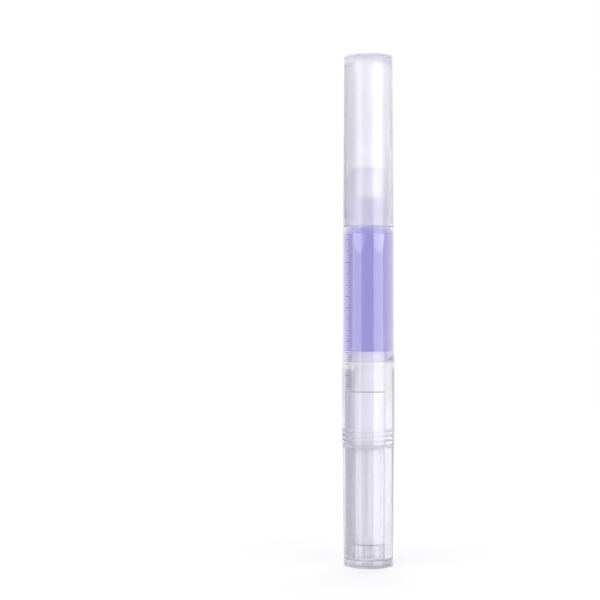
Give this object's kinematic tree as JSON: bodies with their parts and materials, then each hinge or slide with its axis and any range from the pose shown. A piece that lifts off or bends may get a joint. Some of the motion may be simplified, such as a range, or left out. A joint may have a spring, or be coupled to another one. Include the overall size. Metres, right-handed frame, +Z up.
{
  "type": "nail oil pen",
  "caption": "Slim clear twist pen for nail oil: a ratchet knob drives a screw and piston that feed oil through the barrel to a brush under a pull-off cap.",
  "frame": {"origin": "centre of the foot, on the surface that the pen stands on", "axes": "+Z up the pen's axis from the knob to the cap, -Y towards the viewer of the picture"},
  "size_m": [0.0128, 0.0128, 0.125],
  "materials": {
    "clear_barrel": "polished clear styrene",
    "clear_cap": "polished clear styrene, faintly lavender",
    "clear_knob": "polished clear styrene",
    "clear_plug": "polished clear styrene",
    "milky_polypropylene": "milky natural polypropylene",
    "nozzle_polypropylene": "translucent natural polypropylene",
    "white_acetal": "white acetal",
    "soft_polyethylene": "soft milky polyethylene",
    "nylon_bristle": "fine white nylon hair",
    "lavender_oil": "clear lavender oil"
  },
  "bodies": {
    "barrel": {"barrel": "clear_barrel", "drive_nut": "milky_polypropylene", "nozzle": "nozzle_polypropylene", "feed_tube": "nozzle_polypropylene", "brush_bristles": "nylon_bristle", "oil_column": "lavender_oil", "oil_neck": "lavender_oil"},
    "cap": {"cap": "clear_cap"},
    "knob": {"knob_shell": "clear_knob", "drive_sleeve": "milky_polypropylene", "click_ring": "white_acetal", "end_plug": "clear_plug"},
    "piston": {"piston": "soft_polyethylene"},
    "screw": {"lead_screw": "white_acetal"}
  },
  "joints": [
    {"name": "cap_pull", "type": "slide", "parent": "barrel", "child": "cap", "axis": [0, 0, 1], "range_m": [0, 0.045]},
    {"name": "knob_turn", "type": "hinge", "parent": "barrel", "child": "knob", "pos_m": [0, 0, 0.0298], "axis": [0, 0, 1], "range_deg": [0, 4860], "deforming": ["click_ring"]},
    {"name": "piston_feed", "type": "slide", "parent": "barrel", "child": "piston", "axis": [0, 0, 1], "range_m": [0, 0.027], "deforming": ["oil_column"]},
    {"name": "screw_turn", "type": "hinge", "parent": "piston", "child": "screw", "pos_m": [0, 0, 0.0465], "axis": [0, 0, 1], "range_deg": [0, 4860]}
  ],
  "couplings": [
    {"joint": "knob_turn", "follows": "piston_feed", "rad_per_m": 3141.6},
    {"joint": "screw_turn", "follows": "piston_feed", "rad_per_m": 3141.6}
  ]
}
